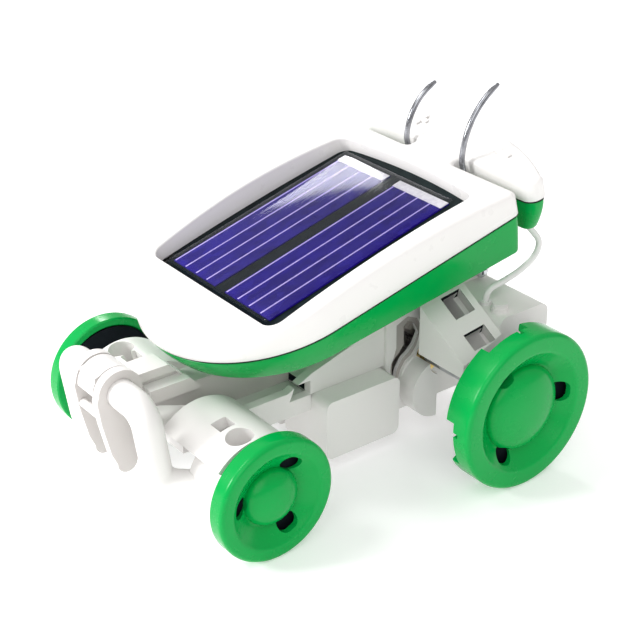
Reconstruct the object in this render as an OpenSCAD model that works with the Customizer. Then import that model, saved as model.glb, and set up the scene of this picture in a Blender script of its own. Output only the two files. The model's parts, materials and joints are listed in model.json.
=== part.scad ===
// Solar robot kit: small four-wheeled solar car.
// Millimetres. The car's front faces -Y, its left side is +X, and Z = 0 is the ground.

/* [Wheels] */
// Rear wheel diameter
rear_d = 30; // [29.6:0.1:30.4]
// Front wheel diameter
front_d = 22.7; // [22.3:0.1:23.1]
// Width over the rear wheels' outer faces
rear_width = 75.5; // [74.5:0.1:76]
// Width over the front wheels' outer faces
front_width = 57.2; // [57:0.1:58]
// Distance between the two axles
wheelbase = 48.2; // [47.9:0.1:48.4]

/* [Solar Module] */
// How far the module leans, rear end up
tilt = 15.4; // [15:0.1:15.8]
// Nose radius of the module's outline
nose_r = 21.9; // [21.6:0.1:22.2]
// Half the width of the module at its rear edge
rear_hw = 23.2; // [22.8:0.1:23.6]
// Width of the window over the cells
window_w = 37.2; // [36:0.2:38]
// Length of each cell strip
cell_len = 41; // [38:0.5:42]
// Width of each cell strip
cell_w = 12.2; // [11:0.1:12.4]

/* [Bumper] */
// Outside diameter of the bent tube
tube_d = 5.2; // [4.8:0.1:5.2]
// Half the distance between the tube's legs
leg_x = 12; // [11.8:0.1:12.4]

/* [Gears] */
// Gear module
gm = 0.5; // [0.5]
// Backlash taken off each gear's teeth
backlash = 0.08; // [0.06:0.01:0.12]

/* [Hidden] */
$fn = 64;
back = -25.32;                      // puts the middle of the whole car at Y = 0
fz = front_d / 2;
rz = rear_d / 2;
ry = wheelbase;
lift = 34.95;
lay = [ry + 2.3, rz + sqrt(81 - 2.3 * 2.3)];
mot = [lay[0] + 7.6, lay[1] - sqrt(8.25 * 8.25 - 7.6 * 7.6)];
bar = [-14.5, 26];
tr = tube_d / 2;
case_y0 = 38.2;
case_y1 = 63;
case_z0 = 5;
case_z1 = 31.5;
screws_at = [[40.6, 28.9], [60.6, 7.6], [60.6, 29.1]];
green = [0, 0.6, 0.25];
white = [0.93, 0.93, 0.92];
dark = [0.06, 0.08, 0.09];
steel = [0.7, 0.7, 0.72];
brass = [0.8, 0.65, 0.3];

// ---- placing ----
module car() translate([0, back, 0]) children();
module tilted() car() translate([0, 0, lift]) rotate([tilt, 0, 0]) children();
// draws in the side plane: x is along the car, y is up, z is across the car
module side() rotate([90, 0, 90]) children();
module rod(x0, x1, p, r, f = 64)
    translate([x0, p[0], p[1]]) side() cylinder(r = r, h = x1 - x0, $fn = f);
module both() { children(); mirror([1, 0, 0]) children(); }
module slab(x0, x1, pts) translate([x0, 0, 0]) side() linear_extrude(x1 - x0) polygon(pts);
// rectangle with round corners, drawn from two corners
module round_rect(x0, y0, x1, y1, r) {
    translate([x0 + r, y0]) square([x1 - x0 - 2 * r, y1 - y0]);
    translate([x0, y0 + r]) square([x1 - x0, y1 - y0 - 2 * r]);
    for (x = [x0 + r, x1 - r], y = [y0 + r, y1 - r]) translate([x, y]) circle(r = r, $fn = 40);
}
// ring sector about an axle, from angle a0 over da degrees
module sector(x0, x1, p, r0, r1, a0, da)
    translate([x0, p[0], p[1]]) side() rotate([0, 0, a0])
        rotate_extrude(angle = da, $fn = 128) translate([r0, 0]) square([r1 - r0, x1 - x0]);
// straight tube between two points
module bar_between(a, b, r) {
    d = b - a;
    l = norm(d);
    translate(a) rotate([0, acos(d[2] / l), atan2(d[1], d[0])]) cylinder(r = r, h = l);
}

// ---- solar module ----
nose = [-0.6, 17.2];                // the nose circle sits a little off the middle
module outline(d) {
    r = nose_r + 0.4 - d;
    translate(nose) circle(r = r, $fn = 128);
    polygon([nose - [r, 0], [-(rear_hw - d), 58 - d], [rear_hw - d, 58 - d], nose + [r, 0]]);
}
// the tail's outline, drawn in by d at the sides, f at the front and g at the back
module tail_outline(d, f, g) {
    intersection() {
        translate([0, 28]) circle(r = 43 - g, $fn = 160);
        round_rect(-23.6 + d, 60.6 + f, 23.6 - d, 74, 2.5);
    }
}
module neck(w) {
    difference() {
        translate([-w, 57]) square([2 * w, 4.2]);
        for (x = [-w, w]) translate([x, 59.3]) circle(r = 1.3, $fn = 32);
    }
}
module crown(top) translate([-30, 30, top - 167]) side() cylinder(r = 167, h = 60, $fn = 400);
module bezel() {
    difference() {
        intersection() {
            translate([0, 0, -4.5]) linear_extrude(8) outline(-0.4);
            crown(2.2);
        }
        translate([0, 0, -5]) linear_extrude(9)
            round_rect(-window_w / 2, 6.6, window_w / 2, 53.2, 2.6);
        translate([0, 0, -5]) linear_extrude(2.8) intersection() {
            outline(2.4);
            translate([-30, 5]) square([60, 49.4]);
        }
        for (x = [-17, 17]) translate([x, 56, -5]) cylinder(r = 0.7, h = 2.6, $fn = 24);
    }
    translate([0, 0, -4.5]) linear_extrude(4.3) tail_outline(0, 0, 0);
    translate([0, 0, -4.5]) linear_extrude(4.3) neck(7.3);
}
module polarity() {
    translate([-10.6, 65.5, -0.2]) linear_extrude(0.35) {
        translate([-1.7, -0.5]) square([3.4, 1]);
        translate([-0.5, -1.7]) square([1, 3.4]);
    }
    translate([12.1 - 1.7, 65.4 - 0.5, -0.2]) cube([3.4, 1, 0.35]);
}
module board() {
    difference() {
        union() {
            translate([0, 17.4, -3.4]) cylinder(r = nose_r - 2.5, h = 1.2, $fn = 128);
            translate([0, 0, -3.4]) linear_extrude(1.2) polygon([[2.5 - nose_r, 17.4],
                [2.5 - rear_hw, 58], [rear_hw - 2.5, 58], [nose_r - 2.5, 17.4]]);
        }
        translate([-30, -10, -4]) cube([60, 15.1, 3]);
        translate([-30, 54.3, -4]) cube([60, 15, 3]);
    }
}
cell_x = [-16.2, 0.1];
module cells() for (x = cell_x) translate([x, 9.4, -2.2]) cube([cell_w, cell_len, 0.3]);
module busbars()
    for (x = cell_x) translate([x, 9.4 + cell_len - 2, -1.9]) cube([cell_w, 1.9, 0.1]);
module fingers()
    for (x = cell_x, i = [0:3]) translate([x + 0.4 + i * 3.35, 9.6, -1.9]) cube([0.3, cell_len - 2.3, 0.06]);
module resin() {
    difference() {
        translate([0, 0, -2.2]) linear_extrude(1.3) round_rect(-17.6, 7.4, 17.2, 52.4, 2.4);
        translate([-16.5, 9.1, -2.3]) cube([29.2, cell_len + 0.6, 0.65]);
    }
}
module gasket() {
    translate([0, 0, -5]) linear_extrude(0.5) difference() { outline(0.3); outline(1.1); }
    translate([0, 0, -5]) linear_extrude(0.5) difference() {
        tail_outline(0.3, 0.3, 0.3);
        tail_outline(1.1, 1.1, 1.1);
    }
}
// the base's underside leans away from the cover towards the rear
drop = 0.045;
module hullform(d, top, rise) {
    r = nose_r + 0.4 - d;
    hull() {
        translate([0, 0, top - 0.01]) linear_extrude(0.01) {
            translate(nose) circle(r = r, $fn = 96);
            polygon([[-(rear_hw - d), 58 - d], [rear_hw - d, 58 - d], nose]);
        }
        multmatrix([[1, 0, 0, 0], [0, 1, 0, 0], [0, -drop, 1, rise - 10.4], [0, 0, 0, 1]])
            linear_extrude(0.01) {
                translate([-0.6, 18]) circle(r = 20.2 - d, $fn = 96);
                polygon([[-(rear_hw - 0.8 - d), 57.6 - d], [rear_hw - 0.8 - d, 57.6 - d], [0, 18]]);
            }
    }
}
module shell() {
    difference() {
        union() {
            difference() {
                hullform(0, -5, 0);
                hullform(1.4, -4.9, 1.3);
            }
            for (x = [-17, 17]) translate([x, 56, -12]) cylinder(r = 1.5, h = 7, $fn = 32);
        }
        for (x = [-17, 17]) translate([x, 56, 0]) {
            translate([0, 0, -13]) cylinder(r = 0.75, h = 9, $fn = 24);
            translate([0, 0, -13]) cylinder(r = 1.3, h = 1.4, $fn = 32);
        }
    }
}
module tail_hull(d, bottom) hull() {
    translate([0, 0, -5.01]) linear_extrude(0.01) tail_outline(0.4 + d, 0.4 + d, 0.4 + d);
    translate([0, 0, bottom]) linear_extrude(0.01) tail_outline(3.2 + d, 0.6 + d, 2.1 + d);
}
module tail_body() {
    difference() {
        union() {
            tail_hull(0, -12);
            translate([-5.6, 58, -12]) cube([11.2, 4.6, 7]);
        }
        tail_hull(1.3, -10.8);
        translate([0, 0, -5.1]) linear_extrude(1) tail_outline(1.7, 1.7, 1.7);
        translate([-4.2, 57, -10.8]) cube([8.4, 7, 7]);
        translate([16.2, 64.1, -13]) cylinder(r = 1.2, h = 3, $fn = 32);
    }
}
module clips() {
    for (m = [0, 1]) mirror([m, 0, 0]) {
        translate([2, 58.1, -6.2]) cube([1.6, 6.4, 0.4]);
        translate([3.6, 62.9, -6.2]) cube([6, 1.6, 0.4]);
        translate([8, 62.4, -6.2]) cube([1.6, 4.4, 0.4]);
    }
}
// a wire that rises from its foot and bends rearwards on radius r through a degrees
module antenna(r, a) {
    foot = [59.2 * cos(tilt), lift + 59.2 * sin(tilt)];
    translate([0, foot[0], foot[1]]) {
        rotate([tilt, 0, 0]) translate([0, 0, -5.8]) cylinder(r = 0.55, h = 5.8, $fn = 24);
        sphere(r = 0.55, $fn = 24);
        translate([0, r, 0]) side() rotate([0, 0, 180 - a])
            rotate_extrude(angle = a, $fn = 160) translate([r, 0]) circle(r = 0.55, $fn = 24);
    }
}
module m_screws() {
    for (x = [-17, 17]) translate([x, 56, 0]) {
        translate([0, 0, -11.7]) cylinder(r = 0.7, h = 9, $fn = 24);
        translate([0, 0, -12.5]) cylinder(r = 1.25, h = 0.8, $fn = 32);
    }
}
// height of the module's underside at a distance along the car
function under(y) = lift - 10.4 * cos(tilt) + (y - 10.4 * sin(tilt)) * tan(tilt - atan(drop));
module pedestal() slab(-6, 6, [[44, case_z1], [56, case_z1], [56, under(56)], [44, under(44)]]);
module f_clip() slab(-2.4, 2.4, [[7, 21.75], [13, 21.45], [13, under(13)], [7, under(7)]]);

// ---- front end ----
module beam() {
    difference() {
        union() {
            rod(-2.5, 2.5, bar, 4.1, 96);
            slab(-2.5, 2.5, [[-14.5, 23.4], [-11, 20.4], [-6, 19.6], [4, 16], [7, 15], [21.3, 15],
                [21.3, 20], [14, 21.4], [4, 21.9], [1.2, 21.95], [-3.9, 26.9], [-10.6, 26.9], [-11.5, 28.8]]);
            // squared front of the hood, and the ledge along its left flank
            slab(-2.5, 2.5, [[-18, 26.9], [-18, 28.9], [-15, 30], [-13, 26.9]]);
            slab(2.4, 4.4, [[-8.8, 21.5], [-8.8, 24.1], [-0.8, 24.1], [1.2, 21.9], [1.2, 21.5]]);
        }
        rod(-3, 3, bar, tr + 0.02, 96);
        slab(-3, 3, [[-20, 18], [-20, 25.8], [-14.5, 25.8], [-14.5, 23.2], [-13.2, 22.2], [-13.2, 18]]);
        slab(1.7, 3, [[-9.2, 24.1], [-9.2, 25.2], [-2.4, 25.2], [-1.6, 24.1]]);
    }
}
bend = 3.2;
lean = [0, sin(8), -cos(8)];
inward = [cos(47), sin(47), 0];
foot_p = [leg_x, bar[0] + bend * lean[1], bar[1] + bend * lean[2]];
low_p = foot_p + 8.66 * lean;
end_p = last(arc(low_p, lean, inward, 10));
// points of a bend from direction a to direction b, starting at p
function arc(p, a, b, k) = let (w = a * b, c = unit(b - w * a))
    [for (i = [0:k]) let (t = acos(w) * i / k) p + bend * ((1 - cos(t)) * c + sin(t) * a)];
function last(v) = v[len(v) - 1];
module bumper() {
    x1 = leg_x - bend;
    rod(0.51 - x1, x1 - 0.51, bar, tr);
    leg = concat([[x1 - 0.5, bar[0], bar[1]]], arc([x1, bar[0], bar[1]], [1, 0, 0], lean, 10),
        arc(low_p, lean, inward, 10), [end_p + 5.2 * inward]);
    tube(leg, tr, 32, [0, 1, 0]);
    tube([for (p = leg) [-p[0], p[1], p[2]]], tr, 32, [0, 1, 0]);
}
// shell over the axle's end, with a solid block from x_in outwards
module housing(x_in, x_out, socket_x, pocket_x) {
    ax = [0, fz];
    c = [-1, 11.4];
    difference() {
        union() {
            difference() {
                sector(7.4, x_out, c, 8, 10.2, 18, 121);
                translate([7, 2, 8]) cube([2.35, 12, 9.35]);
            }
            rod(x_in, x_out, c, 8.1, 96);
            translate([x_in, 0, 0]) side() linear_extrude(x_out - x_in)
                round_rect(-9.5, 4.6, 6.6, 13.6, 2.6);
            sector(9.35, 11.1, c, 1.8, 8.2, 18, 121);
            rod(9.35, 11.1, ax, 2.8, 48);
        }
        rod(7, 25, ax, 1.25);
        // socket for the tube's end
        bar_between(end_p, end_p + 5.2 * inward, tr);
        // round accessory socket and square pocket in the top
        translate([socket_x, 0, fz]) rotate([14, 0, 0]) translate([0, 0, 4.1]) cylinder(r = 2.4, h = 8);
        translate([pocket_x - 1.5, 0, fz]) rotate([14, 0, 0]) translate([0, -1.5, 7.4]) cube([3, 3, 5]);
    }
}
module frame() {
    difference() {
        union() {
            both() slab(7.4, 9.3, [[-6, 13.2], [-6, 15.4], [5, 17], [16.2, 17], [21.5, 19.4],
                [38.2, 24.4], [38.2, 15.2], [21.3, 15.2], [21.3, 12], [12, 12], [6, 13.2]]);
            slab(-7.5, 7.5, [[-6, 13.2], [-6, 15], [21.3, 15], [21.3, 12], [12, 12], [6, 13.2]]);
            translate([-7.5, 21.3, 15.2]) cube([15, 16.9, 1.4]);
        }
        both() slab(7, 10, [[16.6, 15.2], [17.8, 18], [21.2, 18], [21.2, 15.2]]);
        both() translate([4.5, 29.7, 14]) cylinder(r = 0.9, h = 4, $fn = 24);
    }
}
module mid_box() {
    difference() {
        union() {
            both() translate([1.3, 0, 0]) side() linear_extrude(12.7)
                round_rect(21.3, 3.3, 38.2, 15.2, 1.4);
            slab(-1.4, 1.4, [[22.6, 4.6], [22.6, 15.2], [38.2, 15.2], [38.2, 4.6]]);
        }
        translate([-12.4, 22.9, 3]) cube([24.8, 13.7, 10.7]);
        both() translate([4.5, 29.7, 13]) cylinder(r = 0.8, h = 3, $fn = 24);
    }
}
module belly() translate([-12.35, 22.95, 3.3]) cube([24.7, 13.6, 1.5]);
module f_screws() {
    both() translate([4.5, 29.7, 0]) {
        translate([0, 0, 12.6]) cylinder(r = 0.8, h = 4, $fn = 24);
        translate([0, 0, 16.6]) cylinder(r = 1.5, h = 0.9, $fn = 32);
    }
}

// ---- rear end ----
module case_shape(d) round_rect(case_y0 + d, case_z0 + d, case_y1 - d, case_z1 - d, 2.2);
module case_body() {
    difference() {
        union() {
            difference() {
                translate([-10, 0, 0]) side() linear_extrude(18.5) case_shape(0);
                translate([-8.5, 0, 0]) side() linear_extrude(18) case_shape(1.3);
            }
            intersection() {
                for (p = screws_at) rod(-8.6, 8.5, p, 1.9, 32);
                translate([-10, 0, 0]) side() linear_extrude(18.5) case_shape(0.2);
            }
        }
        rod(-11, -7, [ry, rz], 2.6, 48);
        rod(-9.4, -7, lay, 1.05, 48);
        for (p = screws_at) rod(-4, 9, p, 0.8, 24);
    }
}
module case_cover() {
    difference() {
        union() {
            translate([8.5, 0, 0]) side() linear_extrude(1.5) case_shape(0);
            intersection() {
                rod(9.5, 14, [47.5, 9.5], 6, 96);
                translate([9, 40, 2]) cube([6, 7.5, 20]);
            }
        }
        rod(8, 15, [ry, rz], 2.6, 48);
        rod(8, 11, lay, 1.05, 48);
        rod(8, 11, mot, 2.05, 48);
        for (p = screws_at) rod(8, 11, p, 0.9, 24);
        // curved slot in the side, at the bottom of a wider recess
        slab(8, 11, [[44, 22.9], [45.5, 21.7], [46.5, 19.6], [45.4, 17.4], [44.1, 16.1], [42.7, 15.3],
            [41.5, 13.4], [40.9, 11.1], [40.2, 11.2], [40.2, 15.3], [41.8, 16.7], [43, 18.2], [42.9, 22]]);
        slab(9.3, 11, [[43.2, 24.3], [46, 23], [47.2, 20.6], [46.1, 17], [44.8, 15.4], [43.3, 14.6],
            [42.2, 13], [41.5, 10.3], [39.4, 10.3], [39.3, 15], [40, 16.6], [40.6, 18.5], [40.5, 23.2]]);
    }
}
module c_screws() {
    for (p = screws_at) {
        rod(-3.5, 10, p, 0.8, 24);
        difference() {
            rod(10, 11.2, p, 1.5, 32);
            translate([10.7, p[0] - 0.25, p[1] - 1]) cube([1, 0.5, 2]);
            translate([10.7, p[0] - 1, p[1] - 0.25]) cube([1, 2, 0.5]);
        }
    }
}
module bushes() both() difference() {
    union() {
        rod(8.5, 10, [ry, rz], 2.6, 48);
        rod(10, 10.8, [ry, rz], 3.4, 48);
    }
    rod(8, 12, [ry, rz], 1.56, 48);
    translate([9.9, 40, 2]) cube([6, 7.6, 20]);
    translate([9.9, 40, 17.7]) cube([6, 14, 3]);
}
module on_slope() translate([16.5, 43, 26]) rotate([0, 30.46, 0]) rotate([19.6, 0, 0]) children();
// takes the shoulder's inner front corner off, d further in
module corner(d) translate([0, 0, 15]) linear_extrude(20)
    polygon([[9, 42], [14.5 + d, 42], [9, 47.5 + d]]);
module shoulder() {
    difference() {
        intersection() {
            translate([10, 43, 18]) cube([15.6, 9, 12.6]);
            on_slope() translate([-40, -40, -40]) cube([80, 80, 40]);
        }
        corner(0);
        difference() {
            intersection() {
                translate([11.3, 44.2, 17]) cube([13.1, 6.6, 12.4]);
                on_slope() translate([-40, -40, -41.2]) cube([80, 80, 40]);
            }
            corner(1.7);
        }
        on_slope() translate([-2.9, 4.1, -3]) cube([5, 4.1, 4]);
        on_slope() translate([5.4, 3.5, -3]) cube([3.6, 4.4, 4]);
    }
}
cover_at = [[53.4, 14.9], [62.8, 14.9]];
module m_box() {
    difference() {
        union() {
            translate([10, 0, 0]) side() linear_extrude(14) round_rect(52, 13.5, 64.2, 27, 2);
            translate([22.1, 54.6, 26]) cylinder(r = 1.6, h = 1.8, $fn = 32);
        }
        rod(11.2, 25, mot, 5.55, 96);
        rod(9, 12, mot, 2.05, 48);
        translate([18.6, 54.4, 23]) cylinder(r = 1.1, h = 6, $fn = 32);
        translate([22.1, 54.6, 26.4]) cylinder(r = 0.8, h = 4, $fn = 24);
        for (p = cover_at) rod(20.6, 26, p, 0.6, 24);
    }
}
module m_cover() {
    difference() {
        translate([24, 0, 0]) side() linear_extrude(1) round_rect(52, 13.5, 64.2, 27, 2);
        for (p = cover_at) rod(23, 26, p, 0.6, 24);
    }
}
module b_screws() {
    for (p = cover_at) {
        rod(20.6, 25, p, 0.6, 24);
        rod(25, 25.7, p, 1.1, 32);
    }
    translate([22.1, 54.6, 26.4]) cylinder(r = 0.8, h = 1.4, $fn = 24);
    translate([22.1, 54.6, 27.8]) cylinder(r = 1.4, h = 0.8, $fn = 32);
}
module can() {
    intersection() {
        rod(11.3, 22.6, mot, 5.5, 96);
        translate([10, mot[0] - 6, mot[1] - 5.2]) cube([14, 12, 10.4]);
    }
    difference() {
        rod(9, 11.4, mot, 2, 48);
        rod(8, 11.5, mot, 0.85, 32);
    }
}
module end_cap() rod(22.6, 23.3, mot, 5.2, 96);
module terminals() for (s = [-1, 1]) translate([23.3, mot[0] + s * 3 - 0.7, mot[1] - 1]) cube([0.4, 1.4, 2]);

// ---- wire between the module's tail and the motor box ----
function blend(a, b, c, d, t) = 0.5 * (2 * b + (c - a) * t + (2 * a - 5 * b + 4 * c - d) * t * t
    + (3 * b - a - 3 * c + d) * t * t * t);
function run(p, k) = concat([for (i = [0:len(p) - 2], j = [0:k - 1])
    blend(p[max(i - 1, 0)], p[i], p[i + 1], p[min(i + 2, len(p) - 1)], j / k)], [p[len(p) - 1]]);
function unit(v) = v / norm(v);
function ring(c, t, r, n, up) = let (a = unit(cross(t, up)), b = unit(cross(t, a)))
    [for (i = [0:n - 1]) c + r * (a * cos(360 * i / n) + b * sin(360 * i / n))];
module tube(p, r, n, up) {
    m = len(p);
    pts = [for (i = [0:m - 1]) each ring(p[i], p[min(i + 1, m - 1)] - p[max(i - 1, 0)], r, n, up)];
    sides = [for (i = [0:m - 2], j = [0:n - 1])
        [i * n + j, (i + 1) * n + j, (i + 1) * n + (j + 1) % n, i * n + (j + 1) % n]];
    polyhedron(pts, concat(sides, [[for (j = [0:n - 1]) j]],
        [[for (j = [n - 1:-1:0]) (m - 1) * n + j]]));
}
lead_pts = [[16.2, 65, 40.4], [16.6, 66.6, 38.2], [18, 67.9, 35.6], [18.6, 66.4, 33.2],
    [19, 62.6, 31.6], [19, 58.6, 30.6], [18.7, 55.6, 29.8], [18.6, 54.5, 28.4], [18.6, 54.4, 26.4]];
module lead() tube(run(lead_pts, 5), 0.6, 8, [1, 0, 0]);
module grommet() difference() {
    translate([18.6, 54.4, 25.6]) cylinder(r = 1.1, h = 2, $fn = 32);
    translate([18.6, 54.4, 25]) cylinder(r = 0.65, h = 4, $fn = 32);
}
module gland() difference() {
    translate([16.2, 64.1, -12.6]) cylinder(r = 1.2, h = 1.8, $fn = 32);
    translate([16.2, 64.1, -13]) cylinder(r = 0.65, h = 3, $fn = 32);
}

// ---- gears ----
function invol(a) = tan(a) * 180 / PI - a;
function tooth_half(z, r) = let (rp = gm * z / 2, rb = rp * cos(20))
    (PI * gm / 2 - backlash) / (2 * rp) * 180 / PI + invol(20) - (r > rb ? invol(acos(rb / r)) : 0);
module gear(z, add, ded, phase) {
    rp = gm * z / 2;
    rs = [for (i = [0:4]) rp - ded + (add + ded) * i / 4];
    polygon([for (k = [0:z - 1]) each concat(
        [for (r = rs) let (a = phase + 360 * k / z - tooth_half(z, r)) r * [cos(a), sin(a)]],
        [for (i = [4:-1:0]) let (a = phase + 360 * k / z + tooth_half(z, rs[i])) rs[i] * [cos(a), sin(a)]])]);
}
phi1 = atan2(lay[1] - rz, lay[0] - ry);
phi2 = atan2(mot[1] - lay[1], mot[0] - lay[0]);
module gear_at(x0, x1, p, z, add, ded, phase)
    translate([x0, p[0], p[1]]) side() linear_extrude(x1 - x0) gear(z, add, ded, phase);
module axle_gear_body() difference() {
    union() {
        gear_at(-2, 2, [ry, rz], 26, 0.3, 0.62, phi1);
        rod(-3.4, 2.6, [ry, rz], 3, 48);
    }
    rod(-4, 4, [ry, rz], 1.5, 48);
}
module compound() difference() {
    union() {
        gear_at(-2.4, 2.8, lay, 10, 0.45, 0.42, phi1 + 180 + 18);
        gear_at(2.8, 5.4, lay, 24, 0.28, 0.62, phi2);
        rod(5.4, 6.4, lay, 2, 48);
    }
    rod(-3, 7, lay, 1, 48);
}
module pinion() difference() {
    gear_at(2.6, 5.6, mot, 9, 0.45, 0.4, phi2 + 180 + 20);
    rod(2, 6, mot, 0.75, 32);
}

// ---- wheels ----
// turned about the axle: a ring with a dished web and a domed middle
module turned(face, r, rim_in, dish, dome, drop, hub, deep, bore)
    side() rotate_extrude($fn = 160) polygon(concat(
        [[bore, face - deep], [hub, face - deep], [hub, face - drop - 1.3],
            [dome + 0.3, face - drop - 1.3], [dish + 0.5, face - 1.5], [r - 1.5, face - 1.5],
            [r - 1.5, rim_in], [r, rim_in], [r, face - 0.9]],
        [for (a = [15:15:90]) [r - 0.9 + 0.9 * cos(a), face - 0.9 + 0.9 * sin(a)]],
        [[dish, face], [dome, face - drop]],
        [for (t = [1:7]) [dome * cos(90 * t / 8), face - drop + (drop - 0.15) * sin(90 * t / 8)]],
        [[0, face - 0.15], [0, face - 1.6], [bore, face - 1.6]]));
module oval_holes(x0, x1, at_r, d, angles)
    for (a = angles) rotate([a, 0, 0]) {
        for (s = [-0.5, 0.5]) translate([x0, at_r, s]) side() cylinder(r = d / 2, h = x1 - x0);
        translate([x0, at_r - d / 2, -0.5]) cube([x1 - x0, d, 1]);
    }
module front_wheel() {
    f = front_width / 2;
    translate([0, 0, fz]) difference() {
        turned(f, front_d / 2, 25.1, 8, 5.3, 1.6, 2.8, 4, 1.3);
        oval_holes(24.8, 30, 6.5, 2.8, [55, 175, 295]);
        translate([f - 2.6, 0, 0]) side() cylinder(r = 1.8, h = 0.7);
    }
}
module rear_wheel() {
    f = rear_width / 2;
    translate([0, ry, rz]) difference() {
        turned(f, rear_d / 2, 31.9, 10.5, 8.2, 1.8, 3.4, 5.6, 1.5);
        oval_holes(30, 40, 9.1, 3.1, [122, 2, -118]);
        // gaps and narrow slots in the rim's inner edge
        for (k = [0:3]) {
            translate([31, 0, 0]) side() rotate([0, 0, 84 + 90 * k])
                rotate_extrude(angle = 36, $fn = 128) translate([rear_d / 2 - 2.6, 0]) square([4, 3]);
            rotate([92.5 + 90 * k, 0, 0]) translate([33, rear_d / 2 - 2.5, -0.4]) cube([2.1, 4, 0.8]);
        }
    }
}
module rings() both() difference() {
    rod(front_width / 2 - 2.5, front_width / 2 - 2.1, [0, fz], 1.7, 48);
    rod(20, 30, [0, fz], 1.25, 48);
}

// thin disc that closes a wheel's back, behind the web
module wheel_back(x, p, r0, r1, t) difference() {
    rod(x, x + t, p, r1, 96);
    rod(x - 1, x + 1, p, r0, 48);
}

// ---- tow link ----
module link_outline() {
    translate(bar) circle(r = 4.2, $fn = 64);
    polygon([[-18.3, 27.6], [-19, 25.4], [-18.4, 21], [-17, 14.9], [-15.4, 11.2], [-12.6, 11.2],
        [-11.8, 13], [-11.7, 18.8], [-10.7, 24.9], [-11, 28]]);
    translate([-14.1, 12.4]) circle(r = 1.9, $fn = 32);
}
module link_plates() both() difference() {
    translate([2.9, 0, 0]) side() linear_extrude(1.7) link_outline();
    rod(2, 5, bar, tr + 0.06, 64);
}
module link_bars() {
    rod(-2.9, 2.9, [-17.7, 22], 0.75, 32);
    rod(-2.9, 2.9, [-15.2, 19.3], 0.9, 32);
}

color(white) tilted() bezel();  // module_bezel
color(white) tilted() polarity();  // polarity_marks
color(dark) tilted() board();  // solar_board
color([0.13, 0.08, 0.5]) tilted() cells();  // solar_cells
color(white) tilted() busbars();  // cell_busbars
color([0.8, 0.75, 1]) tilted() fingers();  // cell_fingers
color([0.8, 0.85, 1, 0.3]) tilted() resin();  // resin_cover
color(dark) tilted() gasket();  // seam_gasket
color(green) tilted() shell();  // module_shell
color(green) tilted() tail_body();  // tail_shell
color(brass) tilted() clips();  // contact_clips
color(steel) car() translate([-7.7, 0, 0]) antenna(10.4, 70);  // antenna_plus
color(steel) car() translate([7.7, 0, 0]) antenna(14.6, 64);  // antenna_minus
color(steel) tilted() m_screws();  // module_screws
color(white) car() pedestal();  // module_pedestal
color(white) car() f_clip();  // front_clip
color(white) car() beam();  // nose_beam
color(white) car() bumper();  // bumper_bar
color(white) car() housing(15.4, 24.2, 21.4, 16.6);  // axle_housing_left
color(white) car() mirror([1, 0, 0]) housing(10.9, 18.9, 16.2, 12.4);  // axle_housing_right
color(steel) car() rod(1.65 - front_width / 2, front_width / 2 - 1.65, [0, fz], 1.25);  // front_axle
color(brass) car() rings();  // front_axle_rings
color(white) car() frame();  // chassis_frame
color(white) car() mid_box();  // centre_box
color(white) car() belly();  // belly_plate
color(steel) car() f_screws();  // frame_screws
color(white) car() case_body();  // gear_case
color(white) car() case_cover();  // gear_case_cover
color(steel) car() c_screws();  // case_screws
color(brass) car() bushes();  // axle_bushes
color(white) car() shoulder();  // shoulder_left
color(white) car() mirror([1, 0, 0]) shoulder();  // shoulder_right
color(white) car() m_box();  // motor_box
color(white) car() m_cover();  // motor_box_cover
color(steel) car() can();  // motor_can
color(dark) car() end_cap();  // motor_end_cap
color(brass) car() terminals();  // motor_terminals
color(steel) car() b_screws();  // box_screws
color(dark) car() grommet();  // lead_grommet
color(white) tilted() gland();  // lead_gland
color(white) car() lead();  // solar_lead
color(steel) car() rod(2.2, 11.2, mot, 0.75, 32);  // motor_shaft
color(brass) car() pinion();  // motor_pinion
color(steel) car() rod(-9.3, 9.9, lay, 1, 48);  // layshaft
color(white) car() compound();  // compound_gear
color(white) car() axle_gear_body();  // axle_gear
color(steel) car() rod(1.7 - rear_width / 2, rear_width / 2 - 1.7, [ry, rz], 1.5, 48);  // rear_axle
color(green) car() rear_wheel();  // wheel_rear_left
color(green) car() mirror([1, 0, 0]) rear_wheel();  // wheel_rear_right
color(green) car() front_wheel();  // wheel_front_left
color(green) car() mirror([1, 0, 0]) front_wheel();  // wheel_front_right
color(dark) car() both() wheel_back(rear_width / 2 - 3.6, [ry, rz], 3.4, 12.2, 0.35);  // rear_wheel_backs
color(dark) car() wheel_back(front_width / 2 - 3.4, [0, fz], 2.8, 9.6, 0.35);  // front_wheel_back_left
color(dark) car() mirror([1, 0, 0]) wheel_back(front_width / 2 - 3.4, [0, fz], 2.8, 9.6, 0.35);  // front_wheel_back_right
color(white) car() link_plates();  // tow_link_plates
color(white) car() link_bars();  // tow_link_bars
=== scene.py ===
import json
import math

import bmesh
import bpy
from mathutils import Matrix, Vector
from mathutils.geometry import delaunay_2d_cdt

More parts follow.
